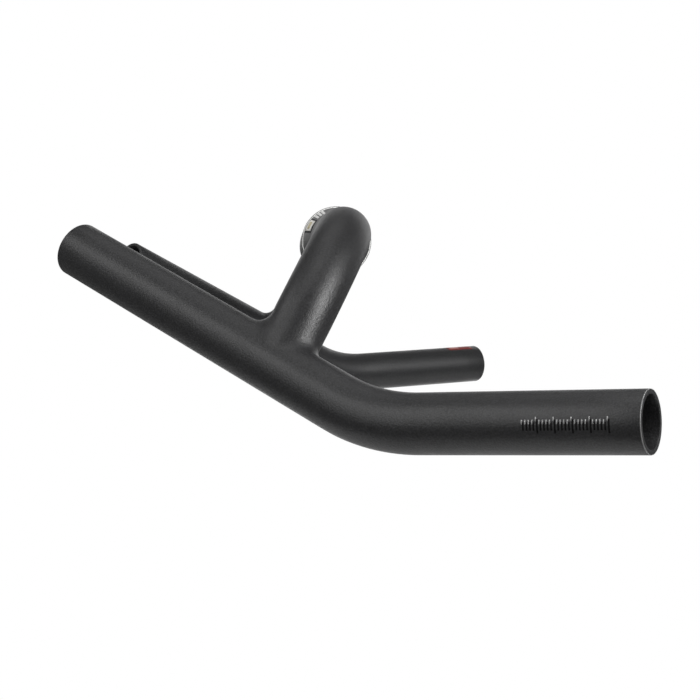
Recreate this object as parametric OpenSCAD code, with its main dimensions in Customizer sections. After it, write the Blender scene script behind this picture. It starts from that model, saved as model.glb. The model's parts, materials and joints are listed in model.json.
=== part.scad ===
// Gravel drop handlebar with a swept grip tube welded across each end of its crossbar.
// +X is forward, +Y is the rider's left and +Z is up. The origin is the middle of the clamp
// zone, on the crossbar's axis. The drops are level, and the left side is the right one mirrored.

/* [Bar] */
// Overall width, over the outsides of the drop ends
bar_w = 560; // [500:5:640]
// Outer diameter of the grip tubes, which takes brake levers and grips
tube_d = 22.2; // [21.6:0.1:23]
// Wall of the grip tubes and of the crossbar outside its clamp zone
wall = 1.8; // [1.4:0.1:2.4]
// Edge break at the four open tube ends
edge_break = 0.35; // [0.2:0.05:0.6]

/* [Crossbar] */
// Diameter of the clamp zone
clamp_d = 31.8; // [31:0.1:32]
// Length of the parallel clamp zone
clamp_len = 80; // [60:2:110]
// Wall in the clamp zone
clamp_wall = 2.4; // [2:0.1:3]
// Height of the small shoulder at each end of the clamp zone
shoulder = 0.7; // [0.3:0.1:1]
// Length of the taper from the shoulder down to the outer crossbar
taper_len = 38; // [25:1:50]
// Diameter of the outer crossbar and its bends
crossbar_d = 22.6; // [22.2:0.1:23]

/* [Bends to the junctions] */
// How far each junction lies ahead of the clamp axis
branch_reach = 29; // [27:0.5:40]
// How far each junction lies below the clamp axis
branch_drop = 50.5; // [45:0.5:55]
// Angle that each end of the crossbar turns through
branch_turn = 68; // [66:1:72]
// Straight length of the branch, from the end of its bend to the junction
branch_len = 22.5; // [22.5:0.5:30]

/* [Grip tubes] */
// Length from the junction to the front end
front_len = 117; // [80:1:150]
// Angle that the front stretch toes in
front_toe = 41.5; // [34:0.5:44]
// Angle that the front stretch rises
front_rise = 25; // [18:1:27]
// Length from the junction back to the corner of the bend
heel_len = 49.5; // [42:0.5:60]
// Length from the corner of the bend to the drop's end
drop_len = 103; // [80:1:140]
// Angle that the drops flare out
drop_flare = 30; // [20:0.5:34]
// Centre line radius of the bend between heel and drop
drop_bend_r = 74; // [50:1:90]

/* [Blend at the junctions] */
// Radius of the blend in the front crotch
crotch_front_r = 6; // [4:0.5:6]
// Radius of the blend in the rear crotch
crotch_rear_r = 4; // [3:0.5:6]
// Diameter of the vent hole from the grip tube into the crossbar
vent_d = 6; // [4:0.5:8]

/* [Hidden] */
$fn = 96;
// Step in radius from one drawn stretch to the next: a bend is slimmer than the straight tubes
// beside it, and the grip tube at the junction is slimmer than its lever seat
draw = 0.06;
// How far a bend reaches into the straight tube beside it
lap = 0.5;
// How far the blend starts below the skin of the grip tube, and how deep its root lies
sink = 0.03;
root = 1.2;
// Space between the blend and the full-size lever seat, and the length of the step up to it
seat_gap = 1.2;
// How far the flanks of the blend lie inside the skin of the grip tube
flank_gap = 0.18;
// Rows round each blend, and steps along its arc
blend_rows = 60;
blend_steps = 8;
taper_steps = 10;

tube_r = tube_d / 2;
bore_r = tube_r - wall;
arm_r = crossbar_d / 2;
arm_bore_r = arm_r - wall;

function unit(v) = v / norm(v);
function angle_of(a, b) = acos(a * b / norm(a) / norm(b));

// Directions of the left grip tube: forward along the front stretch, and back along the drop
front_dir = [cos(front_rise) * cos(front_toe), -cos(front_rise) * sin(front_toe), sin(front_rise)];
drop_dir = [-cos(drop_flare), sin(drop_flare), 0];

// Points of the left side: the junction, both ends of the grip tube and the corner of its bend
junction_y = bar_w / 2 - tube_r * cos(drop_flare) - drop_len * drop_dir.y + heel_len * front_dir.y;
junction = [branch_reach, junction_y, -branch_drop];
front_end = junction + front_len * front_dir;
heel = junction - heel_len * front_dir;
drop_end = heel + drop_len * drop_dir;

// The corner where the crossbar's straight line meets the line of the branch
arm_corner = [0, junction_y - norm([branch_reach, branch_drop]) / tan(branch_turn), 0];
branch_dir = unit(arm_corner - junction);
arm_tangent = norm(arm_corner - junction) - branch_len;
arm_start = arm_corner.y - arm_tangent;
arm_bend_r = arm_tangent / tan(branch_turn / 2);

drop_turn = angle_of(-front_dir, drop_dir);
drop_tangent = drop_bend_r * tan(drop_turn / 2);

// Places its children at a point, with their +Z along one direction and +X along another
module seat(point, z_dir, x_dir) {
    z = unit(z_dir);
    x = unit(x_dir - z * (x_dir * z));
    y = cross(z, x);
    multmatrix([
        [x.x, y.x, z.x, point.x],
        [x.y, y.y, z.y, point.y],
        [x.z, y.z, z.z, point.z],
        [0, 0, 0, 1]
    ]) children();
}

// A solid turned round the line from one point to another, from [radius, distance] points
module turned(from, to, profile) {
    seat(from, to - from, [0, 0, 1])
        rotate_extrude()
            polygon(concat([[0, profile[0][1]]], profile, [[0, profile[len(profile) - 1][1]]]));
}

// A round rod from one point to another, whose far end is stepped in or out by a 45 degree edge
module rod(from, to, r, edge = 0) {
    length = norm(to - from);
    turned(from, to, [[r, 0], [r, length - abs(edge)], [r - edge, length]]);
}

// A bend of round section round a corner, given the directions from the corner to both ends
module bend(corner, to_start, to_end, bend_r, r) {
    turn = 180 - angle_of(to_start, to_end);
    start = corner + to_start * bend_r * tan(turn / 2);
    outward = unit(cross(cross(to_start, to_end), to_start));
    extra = asin(lap / bend_r);
    // Seen from the bend's centre, the start lies along +X and the bend runs towards +Y
    seat(start + outward * bend_r, cross(to_start, to_end), -outward)
        mirror([0, 1, 0])
            rotate([0, 0, -extra])
                rotate_extrude(angle = turn + 2 * extra)
                    translate([bend_r, 0])
                        circle(r = r);
}

// Radius along the S-shaped taper, for a share of its length from 0 to 1
function taper_r(share, wide, slim) = slim + (wide - slim) * (1 + cos(180 * share)) / 2;

// Profile of one half of the straight crossbar, as points of radius and distance from its middle
function half_profile(wide, shoulder_r, slim, reach) = concat(
    [[wide, clamp_len / 2 - shoulder], [shoulder_r, clamp_len / 2]],
    [for (i = [1:taper_steps])
        [taper_r(i / taper_steps, shoulder_r, slim), clamp_len / 2 + taper_len * i / taper_steps]],
    [[slim, reach]]
);

// The straight crossbar as one turned solid, from bend to bend
module straight_crossbar(wide, shoulder_r, slim, reach) {
    half = half_profile(wide, shoulder_r, slim, reach);
    last = len(half) - 1;
    turned([0, 0, 0], [0, 1, 0], concat(
        [for (i = [0:last]) [half[last - i][0], -half[last - i][1]]],
        half
    ));
}

// Blend at the junction: a ball rolls round the crotch between branch and grip tube, and the
// skin follows it. Its radius, and the branch's, change with the angle from the front crotch.
mean_r = (crotch_front_r + crotch_rear_r) / 2;
swing_r = (crotch_front_r - crotch_rear_r) / 2;
gamma = angle_of(front_dir, branch_dir);
side_axis = unit(cross(branch_dir, front_dir));
front_axis = unit(front_dir - branch_dir * (front_dir * branch_dir));

function ball_r(a) = mean_r + swing_r * cos(a);
function neck_r(a) = arm_r - draw - (arm_r - tube_r + flank_gap) * pow(sin(a), 2);
function round_dir(a) = front_axis * cos(a) + side_axis * sin(a);

// Centre of the ball where it touches both tubes, seen from the junction
function ball_centre(a) =
    let (
        near = tube_r - draw - sink + ball_r(a),
        far = neck_r(a) + ball_r(a),
        up = sqrt(pow(near, 2) - pow(far * sin(a), 2)) + far * cos(a) * cos(gamma)
    )
    round_dir(a) * far + branch_dir * up / sin(gamma);

// Direction a share of the way from one unit vector to another
function between(p, q, share) =
    let (w = angle_of(p, q))
    (p * sin(w * (1 - share)) + q * sin(w * share)) / sin(w);

// One row of the skin, from the bend's end down the branch and out onto the grip tube
function blend_row(a) =
    let (
        centre = ball_centre(a),
        foot = front_dir * (centre * front_dir),
        down = unit(foot - centre)
    )
    concat(
        [round_dir(a) * (arm_r - draw) + branch_dir * (branch_len + lap)],
        [for (i = [0:blend_steps])
            centre + ball_r(a) * between(-round_dir(a), down, i / blend_steps)],
        [foot - down * (tube_r - root)]
    );

module blend() {
    per_row = blend_steps + 3;
    rows = [for (i = [0:blend_rows - 1]) blend_row(360 * i / blend_rows)];
    points = concat(
        [for (row = rows) for (p = row) junction + p],
        [junction + branch_dir * (branch_len + lap), junction]
    );
    top = blend_rows * per_row;
    faces = [
        for (i = [0:blend_rows - 1])
            let (here = i * per_row, next = ((i + 1) % blend_rows) * per_row)
            for (face = concat(
                [[top, next, here]],
                [for (k = [0:per_row - 2]) [here + k, next + k, next + k + 1]],
                [for (k = [0:per_row - 2]) [here + k, next + k + 1, here + k + 1]],
                [[top + 1, here + per_row - 1, next + per_row - 1]]
            )) face
    ];
    polyhedron(points, faces, convexity = 6);
}

// Front stretch of the grip tube, from its bend to its open end. Past the blend it comes up to
// full size, which is the seat of a brake lever's clamp.
module front_stretch() {
    start = heel + front_dir * drop_tangent;
    seat_at = heel_len - drop_tangent + ball_centre(0) * front_dir + seat_gap;
    length = norm(front_end - start);
    turned(start, front_end, [
        [tube_r - draw, 0],
        [tube_r - draw, seat_at],
        [tube_r, seat_at + seat_gap],
        [tube_r, length - edge_break],
        [tube_r - edge_break, length]
    ]);
}

// Outside of the left end: bend, blend and the swept grip tube
module side_skin() {
    bend(arm_corner, [0, -1, 0], -branch_dir, arm_bend_r, arm_r - 2 * draw);
    blend();
    front_stretch();
    bend(heel, front_dir, drop_dir, drop_bend_r, tube_r - 2 * draw);
    rod(heel + drop_dir * drop_tangent, drop_end, tube_r, edge_break);
}

// Inside of the left grip tube, open at both ends
module side_bore() {
    rod(heel + front_dir * drop_tangent, front_end, bore_r, -edge_break);
    bend(heel, front_dir, drop_dir, drop_bend_r, bore_r + draw);
    rod(heel + drop_dir * drop_tangent, drop_end, bore_r, -edge_break);
}

// Inside of the left bend and branch, which stops at the wall of the grip tube
module arm_bore() {
    bend(arm_corner, [0, -1, 0], -branch_dir, arm_bend_r, arm_bore_r + draw);
    difference() {
        rod(junction + branch_dir * branch_len, junction, arm_bore_r);
        rod(heel, front_end, tube_r);
    }
    rod(junction + branch_dir * branch_len, junction, vent_d / 2);
}

module both_sides() {
    children();
    mirror([0, 1, 0]) children();
}

module handlebar() {
    color([0.16, 0.16, 0.17])
        difference() {
            union() {
                straight_crossbar(clamp_d / 2, clamp_d / 2 - shoulder, arm_r, arm_start);
                both_sides() side_skin();
            }
            straight_crossbar(
                clamp_d / 2 - clamp_wall,
                clamp_d / 2 - shoulder - clamp_wall,
                arm_bore_r,
                arm_start
            );
            both_sides() {
                side_bore();
                arm_bore();
            }
        }
}

handlebar();
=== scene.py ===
"""A gravel drop handlebar in black anodised aluminium: its skin, its marks, a studio and a camera."""
import json
import logging
import math
from dataclasses import dataclass
from enum import Enum
from typing import Callable

import bmesh
import bpy
from mathutils import Matrix, Vector, geometry


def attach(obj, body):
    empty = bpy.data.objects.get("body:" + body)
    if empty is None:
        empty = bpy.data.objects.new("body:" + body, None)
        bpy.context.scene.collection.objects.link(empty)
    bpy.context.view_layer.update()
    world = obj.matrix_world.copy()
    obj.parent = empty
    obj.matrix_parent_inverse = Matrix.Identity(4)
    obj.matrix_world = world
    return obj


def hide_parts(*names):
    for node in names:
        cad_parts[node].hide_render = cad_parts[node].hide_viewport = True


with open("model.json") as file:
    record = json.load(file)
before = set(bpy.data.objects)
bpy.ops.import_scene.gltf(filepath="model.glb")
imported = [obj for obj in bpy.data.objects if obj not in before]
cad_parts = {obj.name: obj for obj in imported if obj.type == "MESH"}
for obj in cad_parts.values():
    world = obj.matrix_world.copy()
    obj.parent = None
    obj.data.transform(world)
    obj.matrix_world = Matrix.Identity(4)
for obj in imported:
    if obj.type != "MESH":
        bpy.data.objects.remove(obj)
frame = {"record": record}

LOG = logging.getLogger("handlebar")
MM = 0.001
UP = Vector((0, 0, 1))
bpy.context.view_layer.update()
BLEND_STEPS = 10
STEM_STEPS = 4
APRON_STEPS = 6
TAPER_STEPS = 14
BEND_STEPS = 24
DROP_STEPS = 14
FRONT_ROWS = 6
DROP_ROWS = 5
WELD = 0.002 * MM
SHARP = math.radians(34)


class Side(Enum):
    """The two sides of the bar, by the sign of Y."""

    LEFT = 1
    RIGHT = -1

    @property
    def word(self) -> str:
        """The side's name in the record's mounts."""
        return self.name.lower()


class Graph:
    """A material's node graph, with short calls for the nodes that the finishes use."""

    def __init__(self, name: str) -> None:
        """Starts a material with a Principled shader.

        Args:
            name: the material's name.
        """
        self.material = bpy.data.materials.new(name)
        self.material.use_nodes = True
        self.nodes = self.material.node_tree.nodes
        self.shader = self.nodes["Principled BSDF"]
        self.place = self.nodes.new("ShaderNodeTexCoord").outputs["Object"]

    def link(self, source: bpy.types.NodeSocket, target: bpy.types.NodeSocket) -> None:
        """Joins two sockets."""
        self.material.node_tree.links.new(source, target)

    def noise(self, size: float, detail: float = 2.0) -> bpy.types.NodeSocket:
        """A noise pattern on the piece.

        Args:
            size: the size of one blotch, in metres.
            detail: how many finer layers it has.

        Returns:
            The socket that gives the pattern, from 0 to 1.
        """
        node = self.nodes.new("ShaderNodeTexNoise")
        node.inputs["Scale"].default_value = 1 / size
        node.inputs["Detail"].default_value = detail
        self.link(self.place, node.inputs["Vector"])
        return node.outputs["Fac"]

    def spread(self, source: bpy.types.NodeSocket, low: float, high: float,
               to_low: float, to_high: float) -> bpy.types.NodeSocket:
        """Maps a value from one range to another, held inside it.

        Args:
            source: the socket that gives the value.
            low: the value that becomes to_low.
            high: the value that becomes to_high.
            to_low: the lower result.
            to_high: the upper result.

        Returns:
            The socket that gives the mapped value.
        """
        node = self.nodes.new("ShaderNodeMapRange")
        for name, value in (("From Min", low), ("From Max", high), ("To Min", to_low), ("To Max", to_high)):
            node.inputs[name].default_value = value
        self.link(source, node.inputs["Value"])
        return node.outputs["Result"]

    def blend(self, share: bpy.types.NodeSocket, dark: tuple[float, ...],
              light: tuple[float, ...]) -> bpy.types.NodeSocket:
        """Blends two colours by a pattern.

        Args:
            share: the socket that gives the share of the second colour.
            dark: the first colour.
            light: the second colour.

        Returns:
            The socket that gives the colour.
        """
        node = self.nodes.new("ShaderNodeMix")
        node.data_type = "RGBA"
        node.inputs["A"].default_value = (*dark, 1)
        node.inputs["B"].default_value = (*light, 1)
        self.link(share, node.inputs["Factor"])
        return node.outputs["Result"]

    def bump(self, height: bpy.types.NodeSocket, depth: float) -> None:
        """Raises the surface by a pattern.

        Args:
            height: the socket that gives the height, from 0 to 1.
            depth: the height of the pattern, in metres.
        """
        node = self.nodes.new("ShaderNodeBump")
        node.inputs["Distance"].default_value = depth
        self.link(height, node.inputs["Height"])
        self.link(node.outputs["Normal"], self.shader.inputs["Normal"])


@dataclass(frozen=True)
class BlastedBlack:
    """Bead-blasted aluminium, anodised black: matt, with a fine grain that sparkles a little."""

    dark: tuple[float, float, float] = (0.010, 0.010, 0.0105)
    light: tuple[float, float, float] = (0.028, 0.028, 0.0295)
    grain: float = 0.6 * MM
    dent: float = 0.12 * MM

    def material(self) -> bpy.types.Material:
        """Builds the material."""
        graph = Graph("blasted_black")
        grain = graph.noise(self.grain, 3)
        cloud = graph.noise(14 * MM, 3)
        graph.link(graph.blend(graph.spread(grain, 0.35, 0.68, 0, 1), self.dark, self.light),
                   graph.shader.inputs["Base Color"])
        graph.link(graph.spread(cloud, 0.3, 0.7, 0.37, 0.43), graph.shader.inputs["Roughness"])
        graph.shader.inputs["Metallic"].default_value = 0.0
        graph.shader.inputs["IOR"].default_value = 1.5
        graph.bump(grain, self.dent)
        return graph.material


@dataclass(frozen=True)
class Ink:
    """A printed or etched mark, a little uneven; the painted highlights use it too."""

    name: str
    colour: tuple[float, float, float]
    roughness: float = 0.5
    shine: float = 0.5

    def material(self) -> bpy.types.Material:
        """Builds the material."""
        graph = Graph(self.name)
        worn = graph.spread(graph.noise(0.5 * MM, 3), 0.3, 0.7, 0, 1)
        faded = tuple(0.82 * part for part in self.colour)
        graph.link(graph.blend(worn, faded, self.colour), graph.shader.inputs["Base Color"])
        graph.link(graph.spread(worn, 0, 1, self.roughness, self.roughness - 0.08),
                   graph.shader.inputs["Roughness"])
        graph.shader.inputs["Specular IOR Level"].default_value = self.shine
        return graph.material


@dataclass(frozen=True)
class Mount:
    """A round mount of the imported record, in metres."""

    place: Vector
    axis: Vector
    r: float
    length: float

    @classmethod
    def named(cls, name: str) -> "Mount":
        """Reads a mount from the record.

        Args:
            name: the mount's name.

        Returns:
            The mount.
        """
        found = next(m for m in frame["record"]["mounts"] if m["name"] == name)
        dims = found["dims"]
        return cls(Vector(found["pos_m"]), Vector(found["axis"]).normalized(),
                   dims["r_mm"] * MM, dims["length_mm"] * MM)


def finish_piece(name: str, mesh: bmesh.types.BMesh, material: bpy.types.Material) -> bpy.types.Object:
    """Makes an object of a mesh and lets it ride on the bar.

    Args:
        name: the piece's name.
        mesh: its mesh, which is freed.
        material: its finish.

    Returns:
        The piece.
    """
    data = bpy.data.meshes.new(name)
    mesh.to_mesh(data)
    mesh.free()
    data.materials.append(material)
    data.shade_smooth()
    piece = bpy.data.objects.new(name, data)
    bpy.context.scene.collection.objects.link(piece)
    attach(piece, "root")
    LOG.info("%s: %d faces", name, len(data.polygons))
    return piece


@dataclass(frozen=True)
class Line:
    """A straight line along a tube, from a point in a direction."""

    start: Vector
    along: Vector

    def at(self, distance: float) -> Vector:
        """The point at a distance from the start."""
        return self.start + self.along * distance

    def meets(self, other: "Line") -> Vector:
        """Finds where this line meets another.

        Args:
            other: a line that crosses this one.

        Returns:
            The crossing point.
        """
        return geometry.intersect_line_line(self.start, self.at(1), other.start, other.at(1))[0]


class Sweep:
    """A tube skin that grows ring by ring, by extruding the last ring's edges."""

    def __init__(self, mesh: bmesh.types.BMesh, places: list[Vector]) -> None:
        """Starts with one ring.

        Args:
            mesh: the mesh to draw in.
            places: the ring's points, in order.
        """
        self.mesh = mesh
        made = bmesh.ops.create_circle(mesh, segments=len(places), radius=1)["verts"]
        self.ring = sorted(made, key=lambda v: math.atan2(v.co.y, v.co.x) % math.tau)
        self.move(places)

    def move(self, places: list[Vector]) -> None:
        """Puts the last ring's points at these places."""
        for vert, place in zip(self.ring, places):
            vert.co = place

    def grow(self, places: list[Vector]) -> None:
        """Extrudes the last ring to new places."""
        pairs = zip(self.ring, self.ring[1:] + self.ring[:1])
        edges = [self.mesh.edges.get(pair) for pair in pairs]
        made = bmesh.ops.extrude_edge_only(self.mesh, edges=edges)["geom"]
        fresh = {tuple(v.co): v for v in made if isinstance(v, bmesh.types.BMVert)}
        self.ring = [fresh[tuple(v.co)] for v in self.ring]
        self.move(places)

    def turn(self, centre: Vector, axis: Vector, angle: float, steps: int) -> None:
        """Bends the tube round an axis.

        Args:
            centre: a point on the axis.
            axis: the axis to turn round.
            angle: the whole angle, in radians.
            steps: how many rings make the bend.
        """
        step = Matrix.Rotation(angle / steps, 3, axis)
        for _ in range(steps):
            self.grow([centre + step @ (v.co - centre) for v in self.ring])


@dataclass
class BarSkin:
    """The bar's whole skin: crossbar, bends, blended junctions and swept grip tubes with open ends.

    Lengths are in metres and follow the CAD part. The lines of the grip tube come from its mounts. The
    rear crotch and the flank are rounder than the CAD part's, as the real junction is dressed softer.
    The knee is the middle of each open end's rounded edge.
    """

    crossbar_r: float = 11.3 * MM
    wall: float = 1.8 * MM
    edge: float = 0.35 * MM
    shoulder: float = 0.7 * MM
    taper: float = 38 * MM
    reach: float = 29 * MM
    turn: float = math.radians(68)
    branch: float = 22.5 * MM
    drop_bend_r: float = 74 * MM
    front_crotch_r: float = 6 * MM
    rear_crotch_r: float = 7 * MM
    flank_r: float = 15 * MM
    flank_gap: float = 0.18 * MM
    columns: int = 96
    round_steps: int = 64
    hole_width: int = 42
    hole_cells: int = 6
    hole: tuple[float, float] = (-17 * MM, 27 * MM)

    def __post_init__(self) -> None:
        """Works out the lines and corners of the left side."""
        clamp = Mount.named("stem_clamp")
        front = Mount.named("left_lever_seat")
        drop = Mount.named("left_grip_seat")
        self.clamp_r, self.clamp_half = clamp.r, clamp.length / 2
        self.tube_r = front.r
        self.bore_r = self.tube_r - self.wall
        self.knee = self.edge * 0.3
        front_line = Line(front.place, front.axis)
        drop_line = Line(drop.place, drop.axis)
        self.heel = front_line.meets(drop_line)
        self.front, self.drop = front.axis, drop.axis
        self.front_end = front_line.at(front.length / 2 + self.edge)
        self.drop_end = drop_line.at(drop.length / 2 + self.edge)
        self.junction = self.heel + self.front * (self.reach - self.heel.x) / self.front.x
        level = Vector((self.junction.x, 0, self.junction.z)).length
        self.corner = Vector((0, self.junction.y - level / math.tan(self.turn), 0))
        self.up = (self.corner - self.junction).normalized()
        self.side = self.up.cross(self.front).normalized()
        self.fore = self.side.cross(self.up)
        self.crown = self.front.cross(self.side)
        self.arm_tangent = (self.corner - self.junction).length - self.branch
        self.lean = self.front.angle(self.up)

    def round_branch(self, angle: float) -> Vector:
        """The direction out of the branch, by the angle from its front crotch."""
        return self.fore * math.cos(angle) + self.side * math.sin(angle)

    def round_tube(self, angle: float) -> Vector:
        """The direction out of the grip tube, by the angle from the branch's side."""
        return self.crown * math.cos(angle) + self.side * math.sin(angle)

    def blend_column(self, angle: float) -> tuple[list[Vector], tuple[float, float]]:
        """Works out one column of the blend, down the branch and round the crotch.

        Args:
            angle: the angle from the front crotch.

        Returns:
            The column's points, and its foot as a distance along the tube and an angle round it.
        """
        crotch = (self.front_crotch_r + self.rear_crotch_r) / 2
        ball = crotch + (self.front_crotch_r - self.rear_crotch_r) / 2 * math.cos(angle)
        ball += (self.flank_r - crotch) * math.sin(angle) ** 4
        waist = self.crossbar_r - self.tube_r + self.flank_gap
        neck = self.crossbar_r - waist * math.sin(angle) ** 2
        near, far = self.tube_r + ball, neck + ball
        height = math.sqrt(near ** 2 - (far * math.sin(angle)) ** 2)
        height = (height + far * math.cos(angle) * math.cos(self.lean)) / math.sin(self.lean)
        out = self.round_branch(angle)
        centre = out * far + self.up * height
        along = centre.dot(self.front)
        down = (self.front * along - centre).normalized()
        top = out * self.crossbar_r + self.up * self.branch
        arc = [centre + (-out).slerp(down, k / BLEND_STEPS) * ball for k in range(BLEND_STEPS + 1)]
        stem = [top.lerp(arc[0], k / STEM_STEPS) for k in range(1, STEM_STEPS)]
        turned = math.atan2(centre.dot(self.side), centre.dot(self.crown))
        return [self.junction + p for p in stem + arc], (along, turned)

    def hole_edge(self) -> list[tuple[float, float]]:
        """Lists the hole's edge in the grip tube, from the middle of its front side round.

        Returns:
            Each corner of the grid on the edge, as a distance along the tube and an angle round it.
        """
        step = math.tau / self.round_steps
        half = self.hole_width // 2
        back, fore = self.hole
        cell = (fore - back) / self.hole_cells
        side = [(fore, k * step) for k in range(half)]
        side += [(fore - k * cell, half * step) for k in range(self.hole_cells)]
        rear = [(back, (half - k) * step) for k in range(self.hole_width)]
        other = [(back + k * cell, -half * step) for k in range(self.hole_cells)]
        last = [(fore, (k - half) * step) for k in range(half)]
        return side + rear + other + last

    def on_tube(self, along: float, angle: float) -> Vector:
        """A point on the grip tube's skin near the junction."""
        return self.junction + self.front * along + self.round_tube(angle) * self.tube_r

    def draw_arm(self, mesh: bmesh.types.BMesh) -> None:
        """Draws the left half of the crossbar, its bend, the branch and the blend.

        Args:
            mesh: the mesh to draw in.
        """
        angles = [math.tau * k / self.columns for k in range(self.columns)]
        top = self.junction + self.up * self.branch
        inward = Vector((0, -1, 0))
        bend_r = self.arm_tangent / math.tan(self.turn / 2)
        centre_way = (inward - self.up * inward.dot(self.up)).normalized()
        axis = self.up.cross(centre_way)
        centre = top + centre_way * bend_r
        level = Matrix.Rotation(self.turn, 3, axis)
        around = [level @ self.round_branch(a) for a in angles]
        clamp_end = self.clamp_half + self.shoulder
        stations = [(self.clamp_r, 0.0), (self.clamp_r, self.clamp_half * 0.5),
                    (self.clamp_r, self.clamp_half), (self.clamp_r - self.shoulder, clamp_end)]
        fall = self.clamp_r - self.shoulder - self.crossbar_r
        for k in range(1, TAPER_STEPS + 1):
            share = k / TAPER_STEPS
            stations.append((self.crossbar_r + fall * (1 + math.cos(math.pi * share)) / 2,
                             clamp_end + self.taper * share))
        start = self.corner.y - self.arm_tangent
        last = stations[-1][1]
        stations += [(self.crossbar_r, last + (start - last) * k / 3) for k in (1, 2, 3)]
        rings = [[Vector((0, y, 0)) + out * r for out in around] for r, y in stations]
        sweep = Sweep(mesh, rings[0])
        for ring in rings[1:]:
            sweep.grow(ring)
        sweep.turn(centre, axis, -self.turn, BEND_STEPS)
        columns = [self.blend_column(a) for a in angles]
        for row in zip(*(column for column, _ in columns)):
            sweep.grow(list(row))
        edge = self.hole_edge()
        for k in range(1, APRON_STEPS + 1):
            share = k / APRON_STEPS
            sweep.grow([self.on_tube(along + (to_along - along) * share, angle + (to_angle - angle) * share)
                        for (_, (along, angle)), (to_along, to_angle) in zip(columns, edge)])

    def draw_tube(self, mesh: bmesh.types.BMesh) -> None:
        """Draws the left grip tube: its skin with a hole for the blend, its open ends and its bore.

        Args:
            mesh: the mesh to draw in.
        """
        turns = [math.tau * k / self.round_steps for k in range(self.round_steps)]
        bend = math.pi - self.front.angle(self.drop)
        tangent = self.drop_bend_r * math.tan(bend / 2)
        axis = self.front.cross(self.drop).normalized()
        start = self.heel + self.front * tangent
        centre = start + axis.cross(self.front) * self.drop_bend_r
        turned = Matrix.Rotation(-bend, 3, axis)
        heel_back = (self.heel - self.junction).dot(self.front) + tangent
        front_at = (self.front_end - self.junction).dot(self.front)
        drop_at = (self.drop_end - self.heel).length

        def ring(radius: float, origin: Vector, turn: Matrix) -> list[Vector]:
            """A ring of the tube round a point."""
            return [origin + turn @ self.round_tube(a) * radius for a in turns]

        def front_ring(radius: float, along: float) -> list[Vector]:
            """A ring of the front stretch, by the distance from the junction."""
            return ring(radius, self.junction + self.front * along, Matrix.Identity(3))

        def drop_ring(radius: float, along: float) -> list[Vector]:
            """A ring of the drop, by the distance from the heel."""
            return ring(radius, self.heel + self.drop * along, turned)

        back, fore = self.hole
        cell = (fore - back) / self.hole_cells
        outer_front = [back + cell * k for k in range(self.hole_cells + 1)]
        rest = front_at - self.edge - fore
        outer_front += [fore + rest * k / FRONT_ROWS for k in range(1, FRONT_ROWS + 1)]
        sweep = Sweep(mesh, drop_ring(self.tube_r, drop_at - self.edge))
        straight = drop_at - self.edge - tangent
        for k in range(DROP_ROWS - 1, -1, -1):
            sweep.grow(drop_ring(self.tube_r, tangent + straight * k / DROP_ROWS))
        sweep.turn(centre, axis, bend, DROP_STEPS)
        sweep.grow(front_ring(self.tube_r, (heel_back + back) / 2))
        for along in outer_front:
            sweep.grow(front_ring(self.tube_r, along))
        for radius, along in ((self.tube_r - self.knee, front_at - self.knee),
                              (self.tube_r - self.edge, front_at), (self.bore_r + self.edge, front_at),
                              (self.bore_r + self.knee, front_at - self.knee),
                              (self.bore_r, front_at - self.edge), (self.bore_r, front_at / 2),
                              (self.bore_r, heel_back)):
            sweep.grow(front_ring(radius, along))
        sweep.turn(centre, axis, -bend, DROP_STEPS)
        for radius, along in ((self.bore_r, (tangent + drop_at) / 2), (self.bore_r, drop_at - self.edge),
                              (self.bore_r + self.knee, drop_at - self.knee),
                              (self.bore_r + self.edge, drop_at), (self.tube_r - self.edge, drop_at),
                              (self.tube_r - self.knee, drop_at - self.knee),
                              (self.tube_r, drop_at - self.edge)):
            sweep.grow(drop_ring(radius, along))
        self.cut_hole(mesh)

    def cut_hole(self, mesh: bmesh.types.BMesh) -> None:
        """Takes out the grip tube's skin where the blend stands.

        Args:
            mesh: the mesh, in which only the grip tube's faces lie so close to its line.
        """
        back, fore = self.hole
        half = (self.hole_width / 2) * math.tau / self.round_steps
        spare = []
        for face in mesh.faces:
            seen = face.calc_center_median() - self.junction
            along = seen.dot(self.front)
            out = seen - self.front * along
            turned = abs(math.atan2(out.dot(self.side), out.dot(self.crown)))
            if back < along < fore and turned < half and out.length > self.bore_r + self.wall / 2:
                spare.append(face)
        bmesh.ops.delete(mesh, geom=spare, context="FACES")

    def build(self, finish: bpy.types.Material) -> bpy.types.Object:
        """Builds the skin, mirrored to both sides, in place of the CAD node.

        Args:
            finish: the skin's material.

        Returns:
            The skin.
        """
        mesh = bmesh.new()
        self.draw_tube(mesh)
        self.draw_arm(mesh)
        bmesh.ops.remove_doubles(mesh, verts=mesh.verts, dist=WELD)
        everything = mesh.verts[:] + mesh.edges[:] + mesh.faces[:]
        bmesh.ops.mirror(mesh, geom=everything, axis="Y", merge_dist=WELD)
        bmesh.ops.remove_doubles(mesh, verts=mesh.verts, dist=WELD)
        bmesh.ops.recalc_face_normals(mesh, faces=mesh.faces)
        open_edges = sum(1 for edge in mesh.edges if not edge.is_manifold)
        LOG.info("bar skin: %d open edges, volume %.1f cm3", open_edges, mesh.calc_volume(signed=True) * 1e6)
        skin = finish_piece("bar_skin", mesh, finish)
        skin.data.set_sharp_from_angle(angle=SHARP)
        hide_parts("handlebar")
        return skin


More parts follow.
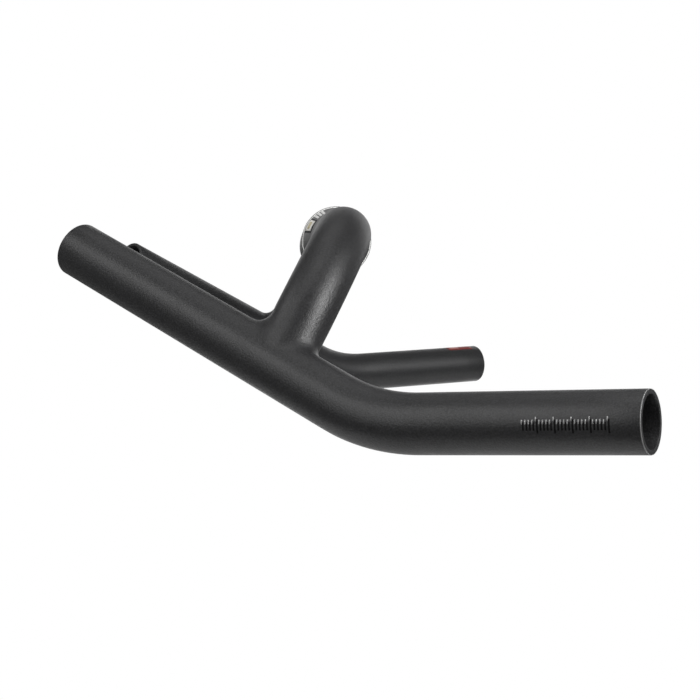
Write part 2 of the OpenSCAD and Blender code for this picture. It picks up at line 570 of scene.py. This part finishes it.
@dataclass(frozen=True)
class Wrap:
    """A round surface that marks and painted highlights are laid on, with its angles counted from one
    direction.
    """

    start: Vector
    along: Vector
    zero: Vector
    quarter: Vector
    radius: Callable[[float], float]

    def patch(self, mesh: bmesh.types.BMesh, reach: tuple[float, float], turn: tuple[float, float],
              lift: float = 0.03 * MM) -> None:
        """Lays one thin curved patch on the surface.

        Args:
            mesh: the mesh to draw in.
            reach: where it starts and ends along the line, in metres.
            turn: where it starts and ends round the line, in degrees.
            lift: how far its outer face stands proud.
        """
        cells = max(1, round(abs(turn[1] - turn[0]) / 3.75))
        rows = max(1, round(abs(reach[1] - reach[0]) / (1.5 * MM)))
        made = bmesh.ops.create_grid(mesh, x_segments=rows, y_segments=cells, size=1)["verts"]
        for vert in made:
            far = reach[0] + (reach[1] - reach[0]) * (vert.co.x + 1) / 2
            angle = math.radians(turn[0] + (turn[1] - turn[0]) * (vert.co.y + 1) / 2)
            out = self.zero * math.cos(angle) + self.quarter * math.sin(angle)
            vert.co = self.start + self.along * far + out * (self.radius(far) + lift)
        bmesh.ops.remove_doubles(mesh, verts=made, dist=0.001 * MM)
        faces = list({face for vert in made if vert.is_valid for face in vert.link_faces})
        for face in faces:
            face.normal_update()
            middle = face.calc_center_median() - self.start
            if face.normal.dot(middle - self.along * middle.dot(self.along)) < 0:
                face.normal_flip()
        bmesh.ops.solidify(mesh, geom=faces, thickness=0.08 * MM)


@dataclass
class Marks:
    """Plain fields, a plain scale of strokes with a painted highlight beside each stroke, and light rings at
    the clamp shoulders and round the drops' ends that are painted highlights. Turns are in degrees.
    """

    bar: BarSkin
    # Where the light ring at each clamp shoulder starts and ends: a painted highlight on the shoulder's
    # chamfer.
    ring: tuple[float, float] = (0.22 * MM, 0.7 * MM)
    label: tuple[float, float] = (42.5 * MM, 61 * MM)
    bar_turns: tuple[float, ...] = (48.5, 55.5, 62.5)
    bar_width: float = 5
    scale_start: float = 10.7 * MM
    scale_end: float = 41.1 * MM
    ticks: int = 25
    tick_width: float = 0.6 * MM

    def draw(self, name: str, ink: Ink, wrap: Wrap,
             patches: list[tuple[tuple[float, float], tuple[float, float]]],
             lift: float = 0.03 * MM) -> None:
        """Draws patches of one ink as one piece.

        Args:
            name: the piece's name.
            ink: its finish.
            wrap: the surface it lies on.
            patches: where each patch starts and ends, along in metres and round in degrees.
            lift: how far it stands proud.
        """
        mesh = bmesh.new()
        for reach, turn in patches:
            wrap.patch(mesh, reach, turn, lift)
        finish_piece(name, mesh, ink.material())

    def taper_radius(self, far: float) -> float:
        """The crossbar's radius beside the clamp zone, by the distance from the middle."""
        bar = self.bar
        inner = bar.clamp_half + bar.shoulder
        if far <= inner:
            share = max(0.0, (far - bar.clamp_half) / bar.shoulder)
            return bar.clamp_r - bar.shoulder * min(1.0, share)
        share = min(1.0, (far - inner) / bar.taper)
        fall = bar.clamp_r - bar.shoulder - bar.crossbar_r
        return bar.crossbar_r + fall * (1 + math.cos(math.pi * share)) / 2

    def clamp_marks(self) -> None:
        """Draws the light rings at the clamp zone's shoulders, a painted highlight where the chamfer catches
        light, and the fields beside it.
        """
        for side in Side:
            wrap = Wrap(Vector(), Vector((0, side.value, 0)), Vector((1, 0, 0)), UP, self.taper_radius)
            half = self.bar.clamp_half
            # A white ring on each shoulder's chamfer: a painted highlight.
            self.draw(f"{side.word}_shoulder_highlight_ring", Ink("shoulder_painted_highlight", (0.92, 0.92, 0.90)), wrap,
                      [((half + self.ring[0], half + self.ring[1]), (0, 360))])
        wrap = Wrap(Vector(), Vector((0, 1, 0)), Vector((1, 0, 0)), UP, self.taper_radius)
        low, high = self.label
        bars = [((low, high), (turn, turn + self.bar_width)) for turn in self.bar_turns]
        self.draw("pale_bars", Ink("label_white", (0.86, 0.86, 0.84)), wrap, bars)
        self.draw("field_frame", Ink("label_black", (0.010, 0.010, 0.010), 0.6, 0.2), wrap,
                  [((low, high + 3 * MM), (16.5, 45))])
        self.draw("field_pale", Ink("label_pale", (0.86, 0.84, 0.78)), wrap,
                  [((low + 3 * MM, high), (20, 41.5))], 0.06 * MM)
        self.draw("field_gold", Ink("label_gold", (0.55, 0.47, 0.26)), wrap,
                  [((low + 7.5 * MM, high - 5 * MM), (24, 37.5))], 0.09 * MM)

    def drop_scale(self) -> None:
        """Draws the scale of strokes on the outer side of the left drop, with a light strip beside each
        stroke that is a painted highlight.
        """
        along = -self.bar.drop
        wrap = Wrap(self.bar.drop_end, along, UP.cross(along).normalized(), UP, lambda far: self.bar.tube_r)
        if wrap.zero.y < 0:
            wrap = Wrap(wrap.start, along, -wrap.zero, UP, wrap.radius)
        dark, light = [], []
        for k in range(self.ticks):
            at = self.scale_start + (self.scale_end - self.scale_start) * k / (self.ticks - 1)
            low, high = (-14, 15) if k % 5 == 0 else (-9, 10)
            dark.append(((at, at + self.tick_width), (low, high - 4)))
            # A light strip past each stroke's edge and along its top: a painted highlight, as if the stroke
            # stood proud.
            light.append(((at + self.tick_width, at + 1.7 * self.tick_width), (high - 8, high)))
        self.draw("scale_strokes", Ink("scale_dark", (0.004, 0.004, 0.004), 0.7, 0.1), wrap, dark)
        self.draw("scale_painted_highlights", Ink("scale_highlight_ink", (0.42, 0.42, 0.42), 0.45), wrap, light)

    def red_field(self) -> None:
        """Draws the red field on the inner top of the right drop's end."""
        end = Vector((self.bar.drop_end.x, -self.bar.drop_end.y, self.bar.drop_end.z))
        along = Vector((-self.bar.drop.x, self.bar.drop.y, -self.bar.drop.z))
        zero = UP.cross(along).normalized()
        zero = zero if zero.y > 0 else -zero
        wrap = Wrap(end, along, zero, UP, lambda far: self.bar.tube_r)
        self.draw("red_field", Ink("label_red", (0.20, 0.022, 0.018)), wrap,
                  [((5 * MM, 22.5 * MM), (60, 96))])
        self.draw("red_field_bar", Ink("label_rose", (0.55, 0.28, 0.26)), wrap,
                  [((14 * MM, 20.5 * MM), (70, 84))], 0.06 * MM)

    def edge_radius(self, far: float) -> float:
        """The drop's radius on its rounded edge, by the distance from its end."""
        edge, knee = self.bar.edge, self.bar.knee
        if far <= knee:
            return self.bar.tube_r - edge + (edge - knee) * far / knee
        return self.bar.tube_r - knee * max(0.0, (edge - far) / (edge - knee))

    def drop_edges(self) -> None:
        """Draws the thin light line round the edge of each drop's end: a painted highlight on the rounded
        edge.
        """
        bar, knee = self.bar, self.bar.knee
        for side in Side:
            end = Vector((bar.drop_end.x, bar.drop_end.y * side.value, bar.drop_end.z))
            along = Vector((-bar.drop.x, -bar.drop.y * side.value, -bar.drop.z))
            zero = UP.cross(along).normalized()
            wrap = Wrap(end, along, zero, along.cross(zero), self.edge_radius)
            # A light grey line round the rounded edge of the open end: a painted highlight.
            self.draw(f"{side.word}_drop_edge", Ink("edge_painted_highlight", (0.22, 0.22, 0.22), 0.45), wrap,
                      [((knee / 2, knee), (0, 360)), ((knee, bar.edge + 0.05 * MM), (0, 360))])

    def build(self) -> None:
        """Draws all the marks."""
        self.clamp_marks()
        self.drop_scale()
        self.red_field()
        self.drop_edges()


@dataclass
class PhotoCamera:
    """The camera of the photograph, in metres and degrees."""

    place: tuple[float, float, float] = (0.02725, 0.85865, -0.02524)
    aim: tuple[float, float, float] = (-0.00538, 0.0, -0.05107)
    roll: float = -2.644
    lens: float = 92.25
    sensor: float = 36.0

    def build(self) -> None:
        """Makes the camera and the scene uses it."""
        data = bpy.data.cameras.new("camera")
        data.lens, data.sensor_width, data.clip_start = self.lens, self.sensor, 0.01
        camera = bpy.data.objects.new("camera", data)
        bpy.context.scene.collection.objects.link(camera)
        look = Vector(self.aim) - Vector(self.place)
        turn = look.to_track_quat("-Z", "Y").to_matrix() @ Matrix.Rotation(math.radians(self.roll), 3, "Z")
        camera.matrix_world = Matrix.Translation(self.place) @ turn.to_4x4()
        bpy.context.scene.camera = camera


@dataclass(frozen=True)
class SoftBox:
    """A soft box, by its turn from the camera's side towards the bar's front and its rise, in degrees."""

    name: str
    turn: float
    rise: float
    size: tuple[float, float]
    watts: float
    reach: float = 1.8


SOFT_BOXES = (
    SoftBox("rear_near", -49, 15, (0.30, 0.36), 3.5, 0.73),
    SoftBox("rear_low", -68, 14, (1.3, 0.8), 6.0),
    SoftBox("rear_high", -60, 42, (1.0, 0.8), 3.5),
    SoftBox("fore_low", 46, 12, (1.2, 0.8), 5.6),
    SoftBox("fore_high", 45, 38, (1.0, 0.8), 6.6),
    SoftBox("fore_side", 88, 40, (0.9, 0.8), 4.5),
    SoftBox("top", 0, 75, (1.2, 0.9), 4.8),
    SoftBox("top_back", 180, 68, (1.2, 0.8), 1.8),
    SoftBox("back_low", 180, -22, (1.2, 0.6), 2.8),
    SoftBox("back", 180, 14, (1.6, 0.8), 3.2),
    SoftBox("back_side", -150, 10, (0.9, 0.8), 1.1),
)


@dataclass
class Studio:
    """A pale floor well below the hanging bar, a white surround and soft boxes."""

    floor_drop: float = 0.42
    floor_r: float = 0.6
    floor_back: float = 0.18
    surround: float = 0.14

    def floor(self) -> None:
        """Lays the round floor."""
        mesh = bmesh.new()
        bmesh.ops.create_circle(mesh, cap_ends=True, segments=96, radius=self.floor_r,
                                matrix=Matrix.Translation((0, -self.floor_back, -self.floor_drop)))
        data = bpy.data.meshes.new("floor")
        mesh.to_mesh(data)
        mesh.free()
        graph = Graph("floor")
        graph.shader.inputs["Base Color"].default_value = (0.9, 0.9, 0.9, 1)
        graph.shader.inputs["Roughness"].default_value = 0.8
        data.materials.append(graph.material)
        floor = bpy.data.objects.new("floor", data)
        bpy.context.scene.collection.objects.link(floor)

    def world(self) -> None:
        """White for the camera, a dimmer grey for the light."""
        world = bpy.data.worlds.new("world")
        bpy.context.scene.world = world
        world.use_nodes = True
        tree = world.node_tree
        background = tree.nodes["Background"]
        path = tree.nodes.new("ShaderNodeLightPath")
        power = tree.nodes.new("ShaderNodeMapRange")
        power.inputs["To Min"].default_value = self.surround
        power.inputs["To Max"].default_value = 1.0
        background.inputs["Color"].default_value = (1, 1, 1, 1)
        tree.links.new(path.outputs["Is Camera Ray"], power.inputs["Value"])
        tree.links.new(power.outputs["Result"], background.inputs["Strength"])

    def lamp(self, box: SoftBox) -> None:
        """Hangs one soft box that faces the bar.

        Args:
            box: its place, size and power.
        """
        data = bpy.data.lights.new(box.name, "AREA")
        data.shape, data.energy = "RECTANGLE", box.watts
        data.size, data.size_y = box.size
        lamp = bpy.data.objects.new(box.name, data)
        lamp.visible_camera = False
        bpy.context.scene.collection.objects.link(lamp)
        turn, rise = math.radians(box.turn), math.radians(box.rise)
        way = Vector((math.sin(turn) * math.cos(rise), math.cos(turn) * math.cos(rise), math.sin(rise)))
        facing = (-way).to_track_quat("-Z", "Y").to_matrix().to_4x4()
        lamp.matrix_world = Matrix.Translation(way * box.reach) @ facing

    def build(self) -> None:
        """Sets the floor, the surround and the lamps."""
        self.floor()
        self.world()
        for box in SOFT_BOXES:
            self.lamp(box)


def main() -> None:
    """Builds the bar's finish, its marks, the studio and the camera."""
    logging.basicConfig(level=logging.INFO, format="%(name)s: %(message)s")
    view = bpy.context.scene.view_settings
    view.view_transform = "Standard"
    PhotoCamera().build()
    Studio().build()
    bar = BarSkin()
    bar.build(BlastedBlack().material())
    Marks(bar).build()


if __name__ == "__main__":
    main()
